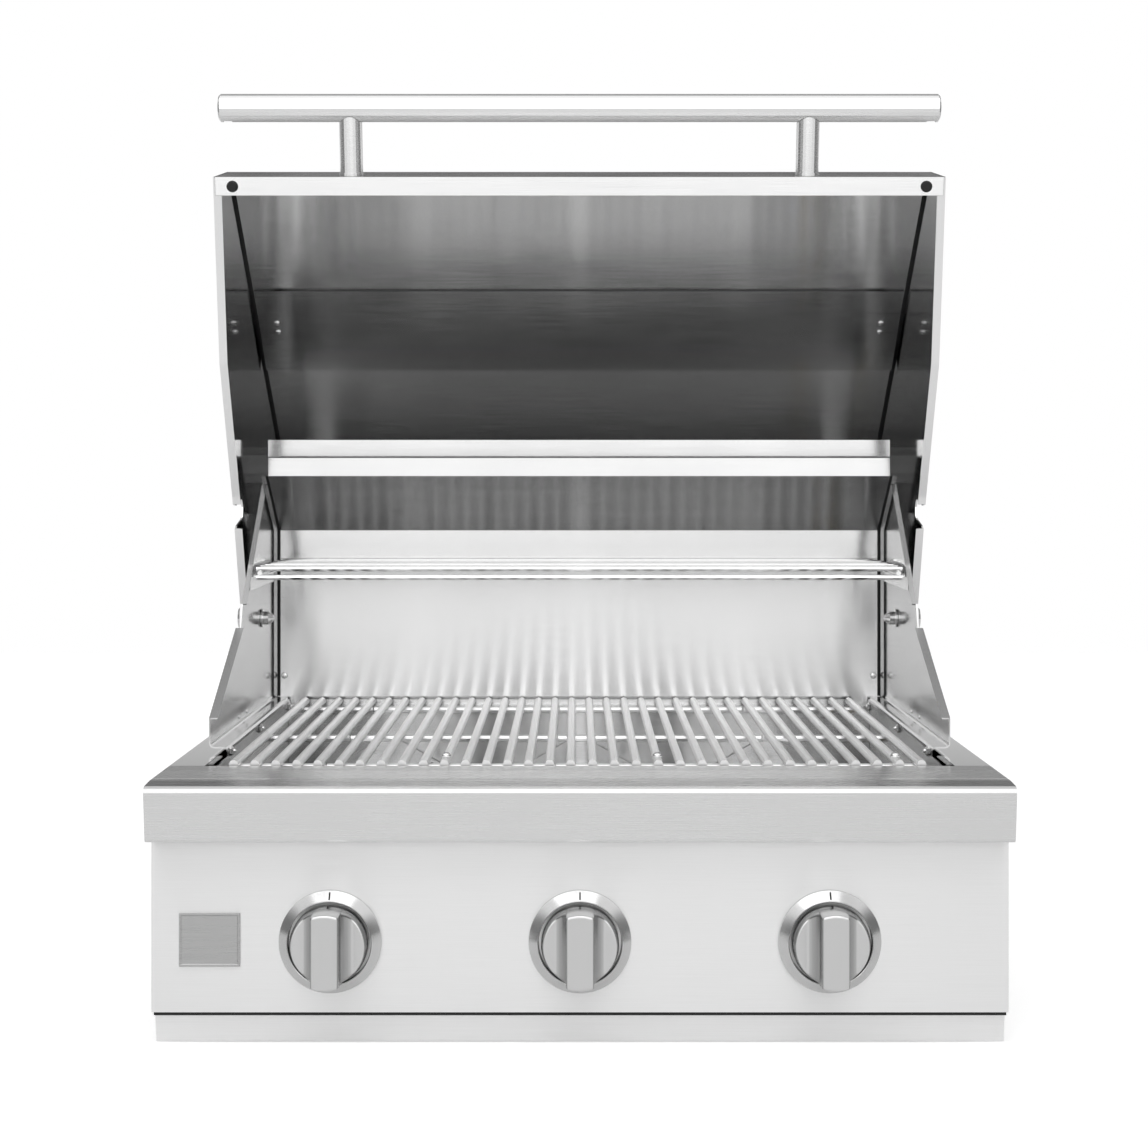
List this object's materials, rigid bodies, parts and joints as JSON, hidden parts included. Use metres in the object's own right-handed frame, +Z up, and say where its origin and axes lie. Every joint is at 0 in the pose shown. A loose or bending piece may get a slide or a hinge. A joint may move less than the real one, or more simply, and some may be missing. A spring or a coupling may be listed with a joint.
{
  "type": "built-in gas grill",
  "caption": "Built-in stainless gas grill: hinged hood swung open, tubular handle, lift-out bar grates, wire warming rack, push-and-turn knobs and a slide-out drip tray",
  "frame": {"origin": "on the flat underside of the base pan, halfway across the width, 215 mm behind the front edge of the base pan", "axes": "+Z up, the front with the knobs faces -Y, +X to the right of a person standing in front"},
  "size_m": [0.6646, 0.7403, 0.7789],
  "materials": {
    "outer_steel": "brushed stainless steel",
    "bright_steel": "polished stainless steel",
    "liner_steel": "plain mill-finish stainless sheet",
    "rod_steel": "round stainless rod",
    "knob_metal": "satin die-cast metal",
    "valve_brass": "plain machined brass",
    "bumper_rubber": "matt black rubber"
  },
  "bodies": {
    "grill_body": {"base_pan": "liner_steel", "side_panel_left": "outer_steel", "side_panel_right": "outer_steel", "rear_panel": "outer_steel", "front_bulkhead": "liner_steel", "firebox_side_left": "liner_steel", "firebox_side_right": "liner_steel", "back_liner": "liner_steel", "bullnose": "bright_steel", "control_panel": "outer_steel", "hinge_bolt_left": "bright_steel", "hinge_bolt_right": "bright_steel", "hinge_nut_left": "bright_steel", "hinge_nut_right": "bright_steel", "knob_bezel_1": "bright_steel", "knob_bezel_2": "bright_steel", "knob_bezel_3": "bright_steel", "valve_body_1": "valve_brass", "valve_body_2": "valve_brass", "valve_body_3": "valve_brass", "gas_manifold": "valve_brass", "gas_supply_pipe": "valve_brass", "burner_1": "liner_steel", "burner_2": "liner_steel", "burner_3": "liner_steel", "flame_tamer_1": "liner_steel", "flame_tamer_2": "liner_steel", "flame_tamer_3": "liner_steel", "tamer_rail_front": "liner_steel", "tamer_rail_rear": "liner_steel", "rack_rest_left": "liner_steel", "rack_rest_right": "liner_steel"},
    "hood": {"hood_skin": "outer_steel", "hood_side_left": "outer_steel", "hood_side_right": "outer_steel", "hood_heat_shield": "liner_steel", "handle_tube": "bright_steel", "handle_post_left": "bright_steel", "handle_post_right": "bright_steel", "bumper_left": "bumper_rubber", "bumper_right": "bumper_rubber"},
    "drip_tray": {"drip_tray": "outer_steel"},
    "warming_rack": {"warming_rack": "rod_steel"},
    "grate_1": {"grate_1": "rod_steel"},
    "grate_2": {"grate_2": "rod_steel"},
    "grate_3": {"grate_3": "rod_steel"},
    "grate_4": {"grate_4": "rod_steel"},
    "valve_plug_1": {"valve_plug_1": "valve_brass"},
    "knob_1": {"knob_1": "knob_metal", "valve_stem_1": "valve_brass"},
    "valve_plug_2": {"valve_plug_2": "valve_brass"},
    "knob_2": {"knob_2": "knob_metal", "valve_stem_2": "valve_brass"},
    "valve_plug_3": {"valve_plug_3": "valve_brass"},
    "knob_3": {"knob_3": "knob_metal", "valve_stem_3": "valve_brass"}
  },
  "joints": [
    {"name": "hood_hinge", "type": "hinge", "parent": "grill_body", "child": "hood", "pos_m": [0, 0.163, 0.2975], "axis": [1, 0, 0], "range_deg": [0, 78.5]},
    {"name": "tray_slide", "type": "slide", "parent": "grill_body", "child": "drip_tray", "axis": [0, -1, 0], "range_m": [0, 0.4]},
    {"name": "rack_lift", "type": "slide", "parent": "grill_body", "child": "warming_rack", "axis": [0, 0, 1], "range_m": [0, 0.03]},
    {"name": "grate_lift_1", "type": "slide", "parent": "grill_body", "child": "grate_1", "axis": [0, 0, 1], "range_m": [0, 0.05]},
    {"name": "grate_lift_2", "type": "slide", "parent": "grill_body", "child": "grate_2", "axis": [0, 0, 1], "range_m": [0, 0.05]},
    {"name": "grate_lift_3", "type": "slide", "parent": "grill_body", "child": "grate_3", "axis": [0, 0, 1], "range_m": [0, 0.05]},
    {"name": "grate_lift_4", "type": "slide", "parent": "grill_body", "child": "grate_4", "axis": [0, 0, 1], "range_m": [0, 0.05]},
    {"name": "knob_turn_1", "type": "hinge", "parent": "grill_body", "child": "valve_plug_1", "pos_m": [-0.192, -0.26, 0.081], "axis": [0, -1, 0], "range_deg": [0, 210]},
    {"name": "knob_push_1", "type": "slide", "parent": "valve_plug_1", "child": "knob_1", "axis": [0, 1, 0], "range_m": [0, 0.004], "stiffness_N_per_m": 600},
    {"name": "knob_turn_2", "type": "hinge", "parent": "grill_body", "child": "valve_plug_2", "pos_m": [0, -0.26, 0.081], "axis": [0, -1, 0], "range_deg": [0, 210]},
    {"name": "knob_push_2", "type": "slide", "parent": "valve_plug_2", "child": "knob_2", "axis": [0, 1, 0], "range_m": [0, 0.004], "stiffness_N_per_m": 600},
    {"name": "knob_turn_3", "type": "hinge", "parent": "grill_body", "child": "valve_plug_3", "pos_m": [0.192, -0.26, 0.081], "axis": [0, -1, 0], "range_deg": [0, 210]},
    {"name": "knob_push_3", "type": "slide", "parent": "valve_plug_3", "child": "knob_3", "axis": [0, 1, 0], "range_m": [0, 0.004], "stiffness_N_per_m": 600}
  ]
}
